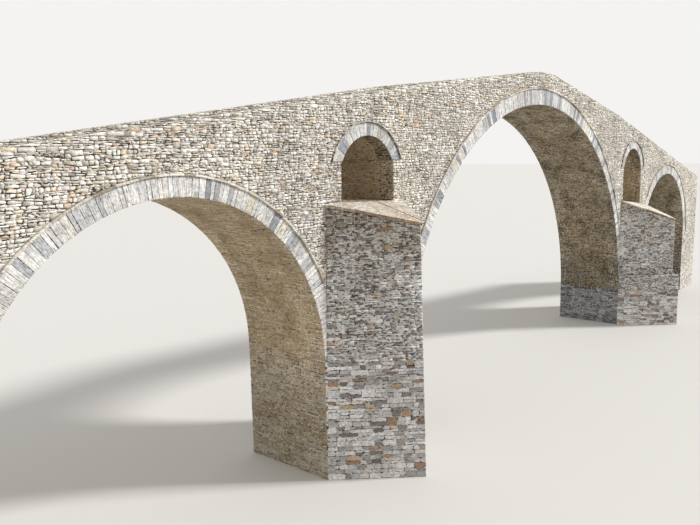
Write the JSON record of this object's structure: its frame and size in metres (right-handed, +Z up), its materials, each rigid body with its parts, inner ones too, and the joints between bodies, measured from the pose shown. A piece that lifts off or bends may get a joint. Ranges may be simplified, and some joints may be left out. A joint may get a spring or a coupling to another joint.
{
  "type": "stone arch bridge, scale model 1:2",
  "caption": "Humpbacked stone bridge at half size: a tall main arch between smaller arches, pointed cutwaters on one side of its piers and relief arches through the walls above them.",
  "frame": {"origin": "middle of the bridge's length and width, at the foot of its piers", "axes": "+X along the roadway from the low left arch to the small right arch, +Y from the cutwaters to the back face, +Z up"},
  "size_m": [28, 3.1626, 6.805],
  "materials": {
    "rubble_wall": "rough random rubble in lime mortar",
    "pier_masonry": "rough coursed rubble in lime mortar",
    "dressed_ring_stone": "hammer dressed",
    "hood_slab": "split slab",
    "cap_slab": "split slab, weathered",
    "soffit_masonry": "rough stones smeared with mortar",
    "kerb_stone": "split, weathered",
    "road_cobble": "worn cobble",
    "rubble_filling": "rough rubble"
  },
  "bodies": {
    "root": {"kerb_back": "kerb_stone", "kerb_front": "kerb_stone", "left_abutment": "rubble_wall", "left_arch_barrel": "soffit_masonry", "left_arch_hood_back": "hood_slab", "left_arch_hood_front": "hood_slab", "left_arch_ring_back": "dressed_ring_stone", "left_arch_ring_front": "dressed_ring_stone", "left_arch_wall_back": "rubble_wall", "left_arch_wall_front": "rubble_wall", "left_cutwater": "pier_masonry", "left_cutwater_cap": "cap_slab", "left_pier": "pier_masonry", "left_relief_ring_back": "dressed_ring_stone", "left_relief_ring_front": "dressed_ring_stone", "left_relief_vault": "soffit_masonry", "left_spandrel_wall_back": "rubble_wall", "left_spandrel_wall_front": "rubble_wall", "main_arch_barrel": "soffit_masonry", "main_arch_hood_back": "hood_slab", "main_arch_hood_front": "hood_slab", "main_arch_ring_back": "dressed_ring_stone", "main_arch_ring_front": "dressed_ring_stone", "right_abutment": "rubble_wall", "right_arch_barrel": "soffit_masonry", "right_arch_hood_back": "hood_slab", "right_arch_hood_front": "hood_slab", "right_arch_ring_back": "dressed_ring_stone", "right_arch_ring_front": "dressed_ring_stone", "right_arch_wall_back": "rubble_wall", "right_arch_wall_front": "rubble_wall", "right_cutwater": "pier_masonry", "right_cutwater_cap": "cap_slab", "right_pier": "pier_masonry", "right_relief_ring_back": "dressed_ring_stone", "right_relief_ring_front": "dressed_ring_stone", "right_relief_vault": "soffit_masonry", "right_spandrel_wall_back": "rubble_wall", "right_spandrel_wall_front": "rubble_wall", "road_paving": "road_cobble", "rubble_core": "rubble_filling"}
  },
  "joints": []
}
